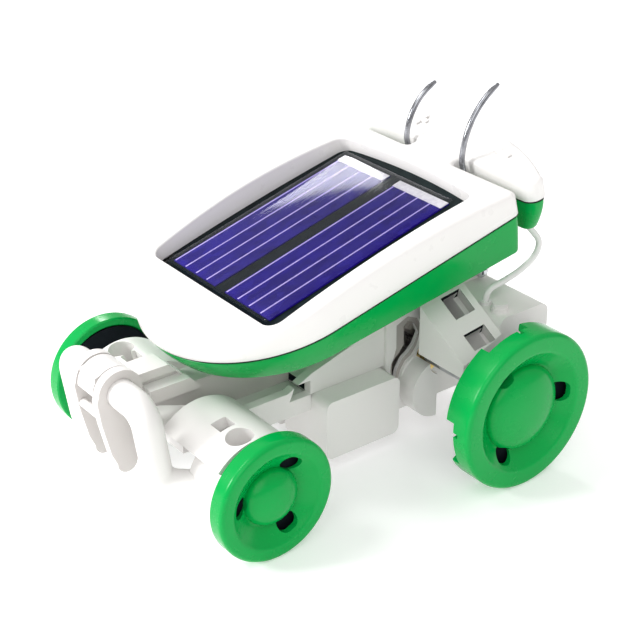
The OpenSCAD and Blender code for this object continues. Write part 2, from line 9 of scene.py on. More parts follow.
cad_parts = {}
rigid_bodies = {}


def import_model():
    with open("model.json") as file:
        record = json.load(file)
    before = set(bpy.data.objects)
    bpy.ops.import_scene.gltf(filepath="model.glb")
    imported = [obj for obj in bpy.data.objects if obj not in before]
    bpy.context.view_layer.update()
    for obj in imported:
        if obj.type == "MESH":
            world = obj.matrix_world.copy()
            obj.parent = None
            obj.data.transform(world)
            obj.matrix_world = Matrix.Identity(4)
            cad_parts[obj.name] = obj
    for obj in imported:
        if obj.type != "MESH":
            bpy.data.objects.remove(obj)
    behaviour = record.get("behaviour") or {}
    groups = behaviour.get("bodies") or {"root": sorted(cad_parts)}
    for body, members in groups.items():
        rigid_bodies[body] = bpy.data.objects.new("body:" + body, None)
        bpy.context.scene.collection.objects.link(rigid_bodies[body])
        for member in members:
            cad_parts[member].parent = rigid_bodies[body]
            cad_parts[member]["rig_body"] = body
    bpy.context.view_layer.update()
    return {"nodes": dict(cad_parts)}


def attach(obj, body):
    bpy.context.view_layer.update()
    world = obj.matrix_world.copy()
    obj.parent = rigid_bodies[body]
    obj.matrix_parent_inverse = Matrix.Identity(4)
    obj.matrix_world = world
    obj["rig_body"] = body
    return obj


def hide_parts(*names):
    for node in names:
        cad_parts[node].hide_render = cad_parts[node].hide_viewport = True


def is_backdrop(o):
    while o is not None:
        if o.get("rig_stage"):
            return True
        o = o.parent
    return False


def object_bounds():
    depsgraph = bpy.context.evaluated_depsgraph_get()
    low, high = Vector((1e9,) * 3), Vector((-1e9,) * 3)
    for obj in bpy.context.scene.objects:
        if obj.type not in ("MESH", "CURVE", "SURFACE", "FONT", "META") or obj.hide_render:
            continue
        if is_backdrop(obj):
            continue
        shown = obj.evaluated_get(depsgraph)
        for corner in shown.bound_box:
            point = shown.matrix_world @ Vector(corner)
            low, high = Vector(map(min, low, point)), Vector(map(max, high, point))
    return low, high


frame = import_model()
nodes = frame["nodes"]
scene = bpy.context.scene
MM = 0.001

# ---------- the part's own numbers, in millimetres ----------
FRONT_AXLE_Y = -25.32
FRONT_AXLE_Z = 11.35
REAR_AXLE = (48.2, 15.0)        # y behind the front axle, and z
BAR = (-14.5, 26.0)             # the bumper's cross tube, as (y, z)
MODULE_LIFT = 34.95             # height of the module's zero line over the front axle
TILT = math.radians(15.4)
COS_TILT, SIN_TILT = math.cos(TILT), math.sin(TILT)


def car(x, y, z):
    """A point measured from the front axle and the ground, in metres in the frame."""
    return Vector((x, y + FRONT_AXLE_Y, z)) * MM


def mod(x, s, n):
    """A point of the tilted module: s runs up its slope and n stands square on it."""
    return car(x, s * COS_TILT - n * SIN_TILT, MODULE_LIFT + s * SIN_TILT + n * COS_TILT)


# ---------- camera ----------
LENS = 82.52                    # mm, for a sensor 36 mm wide
AZIMUTH, ELEVATION = math.radians(52.48), math.radians(27.58)
AIM = car(-2.77, 32.59, 21.62)
DISTANCE = 0.27461              # metres, from the aim to the lens


def camera():
    cam = bpy.data.objects.new("camera", bpy.data.cameras.new("camera"))
    scene.collection.objects.link(cam)
    cam.data.sensor_width = 36
    cam.data.lens = LENS
    cam.data.clip_start, cam.data.clip_end = 0.01, 20
    flat = math.cos(ELEVATION)
    away = Vector((math.sin(AZIMUTH) * flat, -math.cos(AZIMUTH) * flat, math.sin(ELEVATION)))
    cam.location = AIM + away * DISTANCE
    cam.rotation_euler = (-away).to_track_quat("-Z", "Y").to_euler()
    scene.camera = cam


camera()


# ---------- materials ----------
def lin(r, g, b):
    """An 8-bit screen colour as linear RGBA."""
    def one(c):
        c /= 255
        return c / 12.92 if c <= 0.04045 else ((c + 0.055) / 1.055) ** 2.4
    return (one(r), one(g), one(b), 1)


class Mat:
    """A Principled material with procedural colour, roughness and bump."""

    def __init__(self, name, rough=0.3, metal=0.0, spec=0.5):
        self.material = bpy.data.materials.new(name)
        self.material.use_nodes = True
        self.tree = self.material.node_tree
        self.nodes = self.tree.nodes
        self.inputs = self.nodes["Principled BSDF"].inputs
        self.inputs["Roughness"].default_value = rough
        self.inputs["Metallic"].default_value = metal
        self.inputs["Specular IOR Level"].default_value = spec
        self.place = self.nodes.new("ShaderNodeTexCoord").outputs["Object"]
        self.normal = None

    def link(self, out, into):
        self.tree.links.new(out, into)

    def mapped(self, stretch):
        mapping = self.nodes.new("ShaderNodeMapping")
        mapping.inputs["Scale"].default_value = stretch
        self.link(self.place, mapping.inputs["Vector"])
        return mapping.outputs["Vector"]

    def noise(self, scale, detail=3.0, stretch=(1, 1, 1)):
        vector = self.mapped(stretch)
        noise = self.nodes.new("ShaderNodeTexNoise")
        noise.inputs["Scale"].default_value = scale
        noise.inputs["Detail"].default_value = detail
        self.link(vector, noise.inputs["Vector"])
        return noise.outputs["Fac"]

    def ramp(self, fac, stops):
        ramp = self.nodes.new("ShaderNodeValToRGB")
        elements = ramp.color_ramp.elements
        elements[0].position, elements[0].color = stops[0]
        elements[1].position, elements[1].color = stops[-1]
        for position, colour in stops[1:-1]:
            elements.new(position).color = colour
        self.link(fac, ramp.inputs["Fac"])
        return ramp.outputs["Color"]

    def colour(self, out):
        self.link(out, self.inputs["Base Color"])

    def roughness(self, fac, low, high):
        """Spreads the middle of a noise over a range of roughness."""
        spread = self.nodes.new("ShaderNodeMapRange")
        spread.inputs["From Min"].default_value = 0.35
        spread.inputs["From Max"].default_value = 0.65
        spread.inputs["To Min"].default_value = low
        spread.inputs["To Max"].default_value = high
        self.link(fac, spread.inputs["Value"])
        self.link(spread.outputs["Result"], self.inputs["Roughness"])

    def bump(self, fac, strength, distance):
        bump = self.nodes.new("ShaderNodeBump")
        bump.inputs["Strength"].default_value = strength
        bump.inputs["Distance"].default_value = distance
        self.link(fac, bump.inputs["Height"])
        if self.normal is not None:
            self.link(self.normal, bump.inputs["Normal"])
        self.normal = bump.outputs["Normal"]
        self.link(self.normal, self.inputs["Normal"])


def plastic(name, low, high, rough, spec=0.5):
    """Moulded plastic: a faint cloud of colour, uneven gloss and a fine grain."""
    m = Mat(name, rough=rough, spec=spec)
    m.colour(m.ramp(m.noise(55, 4), [(0.3, (*low, 1)), (0.7, (*high, 1))]))
    m.roughness(m.noise(260, 5), rough - 0.05, rough + 0.07)
    m.bump(m.noise(2600, 2), 0.025, 0.0002)
    return m.material


def metal(name, low, high, rough, brush=None):
    """Bare metal, with brush marks along one axis where brush stretches the noise."""
    m = Mat(name, rough=rough, metal=1.0)
    m.colour(m.ramp(m.noise(300, 4), [(0.3, (*low, 1)), (0.7, (*high, 1))]))
    m.roughness(m.noise(900, 5), rough * 0.7, rough * 1.4)
    if brush:
        m.bump(m.noise(1400, 3, brush), 0.12, 0.0001)
    return m.material


WHITE = plastic("white_shell_plastic", (0.84, 0.825, 0.81), (0.85, 0.838, 0.824), 0.32, 0.35)
FRAME_WHITE = plastic("white_frame_plastic", (0.80, 0.783, 0.768), (0.81, 0.796, 0.782), 0.34, 0.35)
# painted shade: grey for the shaded faces that look to +X
SIDE_SHADE = plastic("painted_side_shade", (0.60, 0.575, 0.555), (0.62, 0.595, 0.575), 0.5, 0.2)
# painted shade: darker grey for the shaded floor of a recess
RECESS_SHADE = plastic("painted_recess_shade", (0.42, 0.395, 0.375), (0.45, 0.425, 0.40), 0.6, 0.2)
GREEN = plastic("green_plastic", (0.0, 0.335, 0.060), (0.0, 0.35, 0.064), 0.22, 0.2)
NYLON = plastic("natural_nylon", (0.72, 0.70, 0.62), (0.80, 0.78, 0.70), 0.45)
BLACK = plastic("black_rubber_seal", (0.006, 0.009, 0.010), (0.012, 0.016, 0.017), 0.6, 0.15)
# painted shade: near black for the shade deep inside windows, slots, grooves and behind the wheel holes
DEEP_SHADE = plastic("painted_deep_shade", (0.004, 0.006, 0.009), (0.009, 0.012, 0.016), 0.75, 0.05)
LEAD = plastic("white_wire_cover", (0.78, 0.775, 0.765), (0.84, 0.835, 0.83), 0.38)

STEEL = metal("polished_steel", (0.42, 0.43, 0.45), (0.60, 0.61, 0.63), 0.16)
SPRING = metal("spring_wire_steel", (0.16, 0.165, 0.18), (0.42, 0.43, 0.46), 0.18, (1, 1, 9))
CAN = metal("drawn_steel_can", (0.40, 0.41, 0.42), (0.55, 0.56, 0.57), 0.3, (14, 1, 1))
BRASS = metal("brass", (0.55, 0.38, 0.13), (0.70, 0.52, 0.22), 0.28, (6, 1, 1))


def board_material():
    m = Mat("black_cell_board", rough=0.5, spec=0.1)
    m.colour(m.ramp(m.noise(420, 6), [(0.35, lin(16, 25, 27)), (0.65, lin(24, 36, 37))]))
    m.bump(m.noise(3200, 2), 0.06, 0.0001)
    return m.material


def cell_material():
    """Silicon with fine crystal flakes over slow changes of blue."""
    m = Mat("indigo_silicon", rough=0.45, spec=0.12)
    flakes = m.nodes.new("ShaderNodeTexVoronoi")
    flakes.inputs["Scale"].default_value = 950
    flakes.feature = "F1"
    m.link(m.mapped((1, 0.45, 1)), flakes.inputs["Vector"])
    base = m.ramp(m.noise(90, 5, (1, 0.3, 1)),
                  [(0.25, lin(24, 8, 100)), (0.5, lin(32, 14, 122)), (0.8, lin(38, 22, 146))])
    flake = m.ramp(flakes.outputs["Color"], [(0.2, lin(24, 10, 100)), (0.8, lin(48, 38, 158))])
    mix = m.nodes.new("ShaderNodeMix")
    mix.data_type = "RGBA"
    mix.inputs[0].default_value = 0.35
    # 6 and 7 are the two colours of a colour mix, and 2 is its result
    m.link(base, mix.inputs[6])
    m.link(flake, mix.inputs[7])
    m.colour(mix.outputs[2])
    m.roughness(m.noise(700, 4), 0.38, 0.5)
    return m.material


def print_material(name, low, high):
    """Screen-printed silver paste."""
    m = Mat(name, rough=0.35)
    m.colour(m.ramp(m.noise(1500, 4), [(0.3, low), (0.7, high)]))
    m.bump(m.noise(4000, 2), 0.08, 0.00005)
    return m.material


def resin_material():
    """A clear sheet: see-through, with a reflection that grows at flat angles."""
    material = bpy.data.materials.new("clear_cast_resin")
    material.use_nodes = True
    tree = material.node_tree
    tree.nodes.clear()

    def node(kind, **values):
        made = tree.nodes.new(kind)
        for socket, value in values.items():
            made.inputs[socket].default_value = value
        return made

    surface = node("ShaderNodeOutputMaterial")
    clear = node("ShaderNodeBsdfTransparent")
    gloss = node("ShaderNodeBsdfGlossy", Roughness=0.07, Color=(0.96, 0.96, 1, 1))
    mix = node("ShaderNodeMixShader")
    fresnel = node("ShaderNodeFresnel", IOR=1.3)
    place = node("ShaderNodeTexCoord")
    waves = node("ShaderNodeTexNoise", Scale=60, Detail=1)
    bump = node("ShaderNodeBump", Strength=0.02, Distance=0.0004)
    for out, into in ((place.outputs["Object"], waves.inputs["Vector"]),
                      (waves.outputs["Fac"], bump.inputs["Height"]),
                      (bump.outputs["Normal"], gloss.inputs["Normal"]),
                      (fresnel.outputs["Fac"], mix.inputs["Fac"]),
                      (clear.outputs["BSDF"], mix.inputs[1]),
                      (gloss.outputs["BSDF"], mix.inputs[2]),
                      (mix.outputs["Shader"], surface.inputs["Surface"])):
        tree.links.new(out, into)
    return material


BOARD = board_material()
CELL = cell_material()
FINGER = print_material("printed_fingers", lin(188, 170, 250), lin(214, 200, 255))
BUSBAR = print_material("printed_busbar", lin(226, 224, 232), lin(246, 245, 250))
RESIN = resin_material()

# ---------- mesh helpers ----------
WELD = 1e-6                     # metres


def finish_mesh(o, mat, body, replaced=(), sharp=35):
    """Smooth shading with sharp corners, a material, a body and the CAD nodes it replaces."""
    o.data.materials.clear()
    o.data.materials.append(mat)
    for p in o.data.polygons:
        p.use_smooth = True
    o.data.set_sharp_from_angle(angle=math.radians(sharp))
    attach(o, body)
    if replaced:
        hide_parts(*replaced)
    return o


def from_bm(bm, name):
    me = bpy.data.meshes.new(name)
    bm.to_mesh(me)
    bm.free()
    o = bpy.data.objects.new(name, me)
    scene.collection.objects.link(o)
    return o


def plain(name, verts, faces):
    """A welded mesh without a material. A face that would come twice is left out."""
    bm = bmesh.new()
    vs = [bm.verts.new(v) for v in verts]
    for f in faces:
        try:
            bm.faces.new([vs[i] for i in f])
        except ValueError:
            pass
    bmesh.ops.remove_doubles(bm, verts=bm.verts, dist=WELD)
    bmesh.ops.recalc_face_normals(bm, faces=bm.faces)
    return from_bm(bm, name)


def make(name, verts, faces, mat, body, replaced=(), sharp=35):
    return finish_mesh(plain(name, verts, faces), mat, body, replaced, sharp)


def grid_faces(rows, cols, closed_cols=True, closed_rows=False):
    """Quads between neighbouring points of a grid that is listed row by row."""
    faces = []
    for i in range(rows if closed_rows else rows - 1):
        low, high = i * cols, (i + 1) % rows * cols
        for j in range(cols if closed_cols else cols - 1):
            k = (j + 1) % cols
            faces.append((low + j, low + k, high + k, high + j))
    return faces


def arc(cx, cy, r, a0, a1, k):
    """k + 1 points on a circle, from angle a0 to a1 in degrees."""
    return [(cx + r * math.cos(math.radians(a0 + (a1 - a0) * i / k)),
             cy + r * math.sin(math.radians(a0 + (a1 - a0) * i / k))) for i in range(k + 1)]


def sweep(name, pts, radii, mat, replaced, sides=32, up=Vector((1, 0, 0))):
    """A smooth round tube along pts, in metres. It has one radius, or one for each point."""
    verts, n = [], len(pts)
    for i, p in enumerate(pts):
        way = (pts[min(i + 1, n - 1)] - pts[max(i - 1, 0)]).normalized()
        a = way.cross(up).normalized()
        b = way.cross(a)
        r = radii[i] if isinstance(radii, list) else radii
        for k in range(sides):
            turn = 2 * math.pi * k / sides
            verts.append(p + r * (a * math.cos(turn) + b * math.sin(turn)))
    faces = grid_faces(n, sides)
    faces.append(tuple(range(sides)))
    faces.append(tuple((n - 1) * sides + k for k in range(sides)))
    return make(name, verts, faces, mat, "chassis", replaced, sharp=50)


def revolve(profile, side, centre, steps=192):
    """A closed (x, r) profile turned about an axle along X, as points and quads."""
    verts = []
    for k in range(steps):
        a = 2 * math.pi * k / steps
        for x, r in profile:
            verts.append(car(side * x, centre[0] + r * math.cos(a), centre[1] + r * math.sin(a)))
    return verts, grid_faces(steps, len(profile), closed_rows=True)


def prism_x(name, pts, x0, x1):
    """A prism along X over a (y, z) outline."""
    n = len(pts)
    verts = [car(x, y, z) for x in (x0, x1) for y, z in pts]
    faces = [tuple(range(n)), tuple(range(n, 2 * n))]
    faces += [(i, (i + 1) % n, n + (i + 1) % n, n + i) for i in range(n)]
    return plain(name, verts, faces)


def cut(o, cutters):
    """Takes the cutter meshes out of o, and keeps the result as o's own mesh."""
    for c in cutters:
        m = o.modifiers.new("cut", "BOOLEAN")
        m.operation, m.solver, m.object = "DIFFERENCE", "EXACT", c
    bpy.context.view_layer.update()
    me = bpy.data.meshes.new_from_object(o.evaluated_get(bpy.context.evaluated_depsgraph_get()))
    o.modifiers.clear()
    old, o.data = o.data, me
    bpy.data.meshes.remove(old)
    for c in cutters:
        bpy.data.objects.remove(c)


def paint(o, mat, boxes, keep_out=(), only=None):
    """Gives the faces whose middles lie in one of the boxes (mm) their own material.

    Faces that look the way of a keep_out vector stay as they are. With only, no face changes
    but those that look that way."""
    o.data.materials.append(mat)
    slot = len(o.data.materials) - 1
    for f in o.data.polygons:
        c = f.center / MM
        c.y -= FRONT_AXLE_Y
        in_a_box = any(all(lo[k] <= c[k] <= hi[k] for k in range(3)) for lo, hi in boxes)
        kept = any(f.normal.dot(way) > 0.8 for way in keep_out)
        if in_a_box and not kept and (only is None or f.normal.dot(only) > 0.95):
            f.material_index = slot


def refine(node, width, mat):
    """The CAD node's own shape with merged faces and edges rounded by width (mm)."""
    src = nodes[node]
    bm = bmesh.new()
    bm.from_mesh(src.data)
    bmesh.ops.remove_doubles(bm, verts=bm.verts, dist=4 * WELD)
    bmesh.ops.dissolve_degenerate(bm, edges=bm.edges, dist=4 * WELD)
    bmesh.ops.dissolve_limit(bm, angle_limit=math.radians(0.6), verts=bm.verts, edges=bm.edges)
    if width:
        corner = math.radians(32)
        picked = [e for e in bm.edges if len(e.link_faces) == 2 and e.calc_face_angle(0) > corner]
        bmesh.ops.bevel(bm, geom=picked, offset=width * MM, segments=3, profile=0.6,
                        affect="EDGES", clamp_overlap=True, harden_normals=False, miter_outer="ARC")
    bmesh.ops.recalc_face_normals(bm, faces=bm.faces)
    o = from_bm(bm, node + "_skin")
    finish_mesh(o, mat, src["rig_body"], (node,), sharp=40)
    o.modifiers.new("weighted", "WEIGHTED_NORMAL").keep_sharp = True
    return o


def keep(node, mat):
    """A CAD node stays as it is, with a real material."""
    materials = nodes[node].data.materials
    materials.clear()
    materials.append(mat)


# ---------- the module's outlines, as (x, s) points ----------
BODY_REAR = 58.0
NOSE_S, NOSE_ASIDE = 17.2, 0.6  # the nose circle's middle, and how far it sits to -X
NECK_X, NOTCH_R = 7.3, 1.3      # half the neck between body and tail, and its round notches
TAIL_FRONT = 60.6
TAIL_CORNER_X = 21.1
COVER_FOOT = -4.5               # heights n of the cover's lower edge and the base's upper edge
BASE_TOP = -5.02
EASE = 0.12                     # small chamfer on both


def crown(s):
    """Height of the cover's top: domed over the body, nearly flat over the tail."""
    if s < BODY_REAR:
        return 2.2 - (s - 30) ** 2 / 334
    return -0.147 - (s - BODY_REAR) * 0.02


def level(n, slope=0.0):
    return lambda s: n - slope * s


def aside(loop):
    """Moves the nose a little to -X, less and less towards the square end."""
    span = BODY_REAR - NOSE_S
    return [(x - NOSE_ASIDE * max(0, min(1, (BODY_REAR - s) / span)), s) for x, s in loop]


def mirrored(half):
    """A half outline from the nose to the tail, on the +X side, closed by its mirror image."""
    left = [(-x, s) for x, s in reversed(half) if abs(x) > 1e-6]
    return half + left


def even(points, step):
    """The same open line with points about step apart."""
    out = [points[0]]
    for a, b in zip(points, points[1:]):
        k = max(1, round(math.dist(a, b) / step))
        out += [(a[0] + (b[0] - a[0]) * i / k, a[1] + (b[1] - a[1]) * i / k) for i in range(1, k + 1)]
    return out


def body_half(nose_s, nose_r, half_width, rear, corner_r, side_steps=28):
    """Half the body: round nose, straight side and rounded rear corner."""
    pts = arc(0, nose_s, nose_r, -90, -2, 48)
    pts[0] = (0, nose_s - nose_r)
    x0, s0 = pts[-1]
    for i in range(1, side_steps + 1):
        t = i / side_steps
        pts.append((x0 + (half_width - x0) * t, s0 + (rear - corner_r - s0) * t))
    pts += arc(half_width - corner_r, rear - corner_r, corner_r, 0, 90, 8)[1:]
    return pts


def hull_loop(nose_s, nose_r, half_width, rear, corner_r):
    """The body's whole outline, closed straight across the rear."""
    half = body_half(nose_s, nose_r, half_width, rear, corner_r)
    x = half[-1][0]
    half += [(x * (1 - i / 20), rear) for i in range(1, 20)] + [(0, rear)]
    return aside(mirrored(half))


def tail_half(d):
    """The tail's outline from the neck round to its middle, d inside the cover's own edge."""
    half = even([(NECK_X, TAIL_FRONT + d), (TAIL_CORNER_X, TAIL_FRONT + d)], 0.8)
    half += arc(TAIL_CORNER_X, TAIL_FRONT + 2.5, 2.5 - d, -90, 0, 9)[1:]
    half += arc(TAIL_CORNER_X + 1, TAIL_FRONT + 2.7, 1.5 - d, 10, 52, 4)
    back_s, back_r = 28, 43 - d
    start = math.degrees(math.acos((22.6 - d * 0.5) / back_r))
    half += arc(0, back_s, back_r, start, 90, 34)
    half[-1] = (0, back_s + back_r)
    return half


def top_outline():
    """The white cover: body, notched neck and tail in one closed line."""
    half = body_half(NOSE_S, 22.7, 23.6, BODY_REAR, 1.6)
    half += even([half[-1], (NECK_X, BODY_REAR)], 0.8)[1:]
    half += [(NECK_X - NOTCH_R * math.sin(math.radians(a)),
              BODY_REAR + NOTCH_R - NOTCH_R * math.cos(math.radians(a))) for a in range(10, 181, 10)]
    half += tail_half(0)[1:]
    return aside(mirrored(half))


def window_outline(grow=0.0):
    """The window in the white cover: round corners, and sides and rear that bow out a little."""
    w, s0, s1, r = 18.4 + grow, 6.6 - grow, 53.0 + grow, 2.4 + grow
    side_end = s1 - r - 0.6
    half = even([(0, s0), (w - r, s0)], 0.8) + arc(w - r, s0 + r, r, -90, 0, 10)[1:]
    half += even([(w, s0 + r), (w, side_end)], 1.0)[1:]
    half += arc(w - r, side_end, r, 0, 84, 10)[1:]
    for i in range(1, 17):
        x = (w - r) * (1 - i / 16)
        across = (x / (w - r)) ** 2
        half.append((x, s1 + 0.5 * (1 - across) - 0.55 * across))
    bow = [(x + (0.75 * math.sin(math.pi * (s - s0) / (s1 - s0)) if x > 3 else 0), s) for x, s in half]
    bow[0], bow[-1] = (0.0, bow[0][1]), (0.0, bow[-1][1])
    return mirrored(bow)


# ---------- outline tools ----------
def inset(loop, d):
    """The loop moved inwards by d."""
    out, n = [], len(loop)
    for i, (x, y) in enumerate(loop):
        (ax, ay), (bx, by) = loop[i - 1], loop[(i + 1) % n]
        dx, dy = bx - ax, by - ay
        length = math.hypot(dx, dy) or 1
        out.append((x - dy / length * d, y + dx / length * d))
    return out


def lerp_loop(a, b, f):
    return [(p[0] + (q[0] - p[0]) * f, p[1] + (q[1] - p[1]) * f) for p, q in zip(a, b)]


def inside(p, loop):
    x, y = p
    hit = False
    for (x0, y0), (x1, y1) in zip(loop, loop[1:] + loop[:1]):
        if (y0 > y) != (y1 > y) and x < (x1 - x0) * (y - y0) / (y1 - y0) + x0:
            hit = not hit
    return hit


def near(p, loop, d):
    return any((p[0] - x) ** 2 + (p[1] - y) ** 2 < d * d for x, y in loop)


def cap(verts, faces, loop, first, height, hole=(), hole_first=0, step=1.25):
    """Fills a loop, less its hole, with small triangles on the surface n = height(s)."""
    n, m = len(loop), len(hole)
    pts = list(loop) + list(hole)
    place = [first + j for j in range(n)] + [hole_first + j for j in range(m)]
    edges = [(j, (j + 1) % n) for j in range(n)] + [(n + j, n + (j + 1) % m) for j in range(m)]
    # a grid that is wider and longer than the module, thinned to the points inside
    half_width, length = 26, 72
    reach = int(half_width / step)
    for i in range(-reach, reach + 1):
        for j in range(-5, int(length / step)):
            p = (i * step, j * step)
            if inside(p, loop) and not near(p, pts, 0.55 * step) and not (m and inside(p, hole)):
                pts.append(p)
                place.append(len(verts))
                verts.append(mod(*p, height(p[1])))
    co, _, tris, origin, _, _ = delaunay_2d_cdt([Vector(p) for p in pts], edges, [], 0, 1e-5)
    spot = []
    for p, known in zip(co, origin):
        spot.append(place[known[0]] if known else len(verts))
        if not known:
            verts.append(mod(*p, height(p[1])))
    for tri in tris:
        c = (sum(co[i][0] for i in tri) / 3, sum(co[i][1] for i in tri) / 3)
        if inside(c, loop) and not (m and inside(c, hole)):
            faces.append(tuple(spot[i] for i in tri))


# ---------- solar module ----------
def module_cover():
    """White cover: outer wall, rounded edge, domed top, window lip and the wall to the board."""
    edge_r, lip_r, board_n = 0.95, 0.45, -2.15
    outer, verts = top_outline(), []

    def ring(loop, height):
        """Adds one closed line of points, and says where it starts."""
        first = len(verts)
        verts.extend(mod(x, s, height(s)) for x, s in loop)
        return first

    foot = COVER_FOOT + EASE
    levels = [(2.2, level(COVER_FOOT)), (EASE, level(COVER_FOOT)), (0.0, level(foot))]
    for part in (0.3, 0.545, 0.79):
        levels.append((0.0, lambda s, part=part: foot + (crown(s) - edge_r - foot) * part))
    for degrees in range(15, 91, 15):
        a = math.radians(degrees)
        levels.append((edge_r * (1 - math.cos(a)),
                       lambda s, a=a: crown(s) - edge_r * (1 - math.sin(a))))
    n = len(outer)
    starts = [ring(inset(outer, d), height) for d, height in levels]
    faces = []
    for a, b in zip(starts, starts[1:]):
        faces += [(a + j, a + (j + 1) % n, b + (j + 1) % n, b + j) for j in range(n)]

    lip = []
    for degrees in range(0, 91, 18):
        a = math.radians(degrees)
        lip.append(ring(window_outline(lip_r * (1 - math.sin(a))),
                        lambda s, a=a: crown(s) - lip_r * (1 - math.cos(a))))
    lip.append(ring(window_outline(), level(board_n)))
    lip.append(ring(window_outline(1.2), level(board_n)))
    m = len(window_outline())
    for a, b in zip(lip, lip[1:]):
        faces += [(a + j, b + j, b + (j + 1) % m, a + (j + 1) % m) for j in range(m)]
    cap(verts, faces, inset(outer, edge_r), starts[-1], crown, window_outline(lip_r), lip[0])
    return make("module_cover", verts, faces, WHITE, "chassis", ("module_bezel",), sharp=50)


def loft_shell(name, rows, mat, replaced):
    """Walls through matching outlines, closed below. Each row is an outline and its height."""
    verts, faces = [], []
    for loop, height in rows:
        verts += [mod(x, s, height(s)) for x, s in loop]
    last_loop, last_height = rows[-1]
    n = len(last_loop)
    faces += grid_faces(len(rows), n)
    cap(verts, faces, last_loop, (len(rows) - 1) * n, last_height, step=3)
    return make(name, verts, faces, mat, "chassis", replaced, sharp=40)


BASE_RIM = hull_loop(NOSE_S, 22.3, 23.2, BODY_REAR, 1.5)


def module_base():
    """Green base: walls that curve in, a rounded lower edge, and an underside that leans."""
    deep, lean, straight = -10.4, 0.045, 0.92
    floor_line = hull_loop(18.0, 20.2, 22.4, 57.6, 1.5)
    wall_top = BASE_TOP - EASE

    def down(u):
        return level(wall_top * (1 - u) + deep * u, lean * u)

    rows = [(inset(BASE_RIM, 1.2), level(BASE_TOP)), (inset(BASE_RIM, EASE), level(BASE_TOP)),
            (BASE_RIM, level(wall_top))]
    for i in range(1, 11):
        u = i / 10 * straight
        rows.append((lerp_loop(BASE_RIM, floor_line, u ** 1.35), down(u)))
    edge = rows[-1][0]
    for degrees in range(18, 91, 12):
        a = math.radians(degrees)
        loop = inset(lerp_loop(edge, floor_line, math.sin(a) * 0.7), 0.55 * (1 - math.cos(a)))
        rows.append((loop, down(straight + (1 - straight) * math.sin(a))))
    return loft_shell("module_base", rows, GREEN, ("module_shell",))


def tail_base():
    """Green base of the tail, which narrows downwards and forwards."""
    front, wall_deep, round_top, round_deep = 61.0, 6.86, -11.3, 0.7
    wall_top = BASE_TOP - EASE
    top = mirrored([(NECK_X * i / 6, front) for i in range(6)] + tail_half(0.4))
    low = [(x * 0.88, front + 0.3 + (s - front) * 0.79) for x, s in top]
    rows = [(inset(top, 1.0), level(BASE_TOP)), (inset(top, EASE), level(BASE_TOP)),
            (top, level(wall_top))]
    for i in range(1, 9):
        u = i / 8 * 0.9
        rows.append((lerp_loop(top, low, u ** 1.5), level(wall_top - u * wall_deep)))
    edge = rows[-1][0]
    for degrees in range(20, 91, 14):
        a = math.radians(degrees)
        loop = inset(lerp_loop(edge, low, math.sin(a) * 0.6), 0.8 * (1 - math.cos(a)))
        rows.append((loop, level(round_top - round_deep * math.sin(a))))
    return loft_shell("tail_base", rows, GREEN, ("tail_shell",))


def neck_block():
    """Green block under the neck, between the base and the tail."""
    bm = bmesh.new()
    bmesh.ops.create_cube(bm, size=1)
    for v in bm.verts:
        x, s, n = v.co
        v.co = mod(x * 11.2, 59.8 + s * 4.4, -8.5 + n * 6.9)
    bmesh.ops.bevel(bm, geom=list(bm.edges), offset=0.4 * MM, segments=3, profile=0.5, affect="EDGES")
    return finish_mesh(from_bm(bm, "neck_block"), GREEN, "chassis")


def seam_lip():
    """Outer lip of the dark seam: fills the gap between cover and base almost to their walls; its black
    stands for the seal and, out at the walls, is painted shade of the gap.
    """
    ring = [(1.4, -4.52), (0.06, -4.52), (-0.04, -4.62), (-0.04, -4.95), (0.06, -5.0), (1.4, -5.0)]
    verts = []
    for d, n in ring:
        verts += [mod(x, s, n) for x, s in inset(BASE_RIM, d)]
    faces = grid_faces(len(ring), len(BASE_RIM), closed_rows=True)
    return make("seam_lip", verts, faces, BLACK, "chassis", sharp=40)


def bars(name, boxes, width, mat, node):
    """Flat bars with softened edges on the board; each box is x0, x1, s0, s1, n0, n1."""
    bm = bmesh.new()
    for x0, x1, s0, s1, n0, n1 in boxes:
        for v in bmesh.ops.create_cube(bm, size=1)["verts"]:
            x, s, n = v.co
            v.co = mod((x0 + x1) / 2 + x * (x1 - x0), (s0 + s1) / 2 + s * (s1 - s0),
                       (n0 + n1) / 2 + n * (n1 - n0))
    bmesh.ops.bevel(bm, geom=list(bm.edges), offset=width * MM, segments=2, profile=0.5, affect="EDGES")
    return finish_mesh(from_bm(bm, name), mat, "chassis", (node,))


def cells():
    """Two strips of silicon, each with a wide busbar and four thin printed lines."""
    starts, width, line_gap = (-16.2, 0.1), 13.3, 3.35
    bars("cell_strips", [(x, x + width, 9.4, 50.4, -2.2, -1.9) for x in starts], 0.06, CELL,
         "solar_cells")
    bars("printed_busbars", [(x, x + width, 48.3, 50.3, -1.91, -1.8) for x in starts], 0.03, BUSBAR,
         "cell_busbars")
    lines = [x + line_gap * i for x in starts for i in range(4)]
    bars("printed_lines", [(x + 0.25, x + 0.55, 9.6, 48.4, -1.91, -1.84) for x in lines], 0.02, FINGER,
         "cell_fingers")


def resin():
    """Clear cast sheet with a low dome and a rolled edge."""
    nx, ns = 36, 46

    def top(u, v):
        edge = min(1, (1 - abs(u)) * 9, (1 - abs(v)) * 11)
        return -1.75 + 0.5 * math.sqrt(max(0, edge * (2 - edge))) + 0.55 * (1 - u * u) * (1 - v * v)

    def spaced(i, n):
        """From -1 to 1, with the points closer together at both ends."""
        return math.sin(math.pi / 2 * (2 * i / n - 1))

    verts = []
    for j in range(ns + 1):
        for i in range(nx + 1):
            u, v = spaced(i, nx), spaced(j, ns)
            verts.append(mod(-1.75 + 15.2 * u, 29.9 + 21.4 * v, top(u, v)))
    faces = grid_faces(ns + 1, nx + 1, closed_cols=False)
    return make("resin_sheet", verts, faces, RESIN, "chassis", ("resin_cover",), sharp=80)


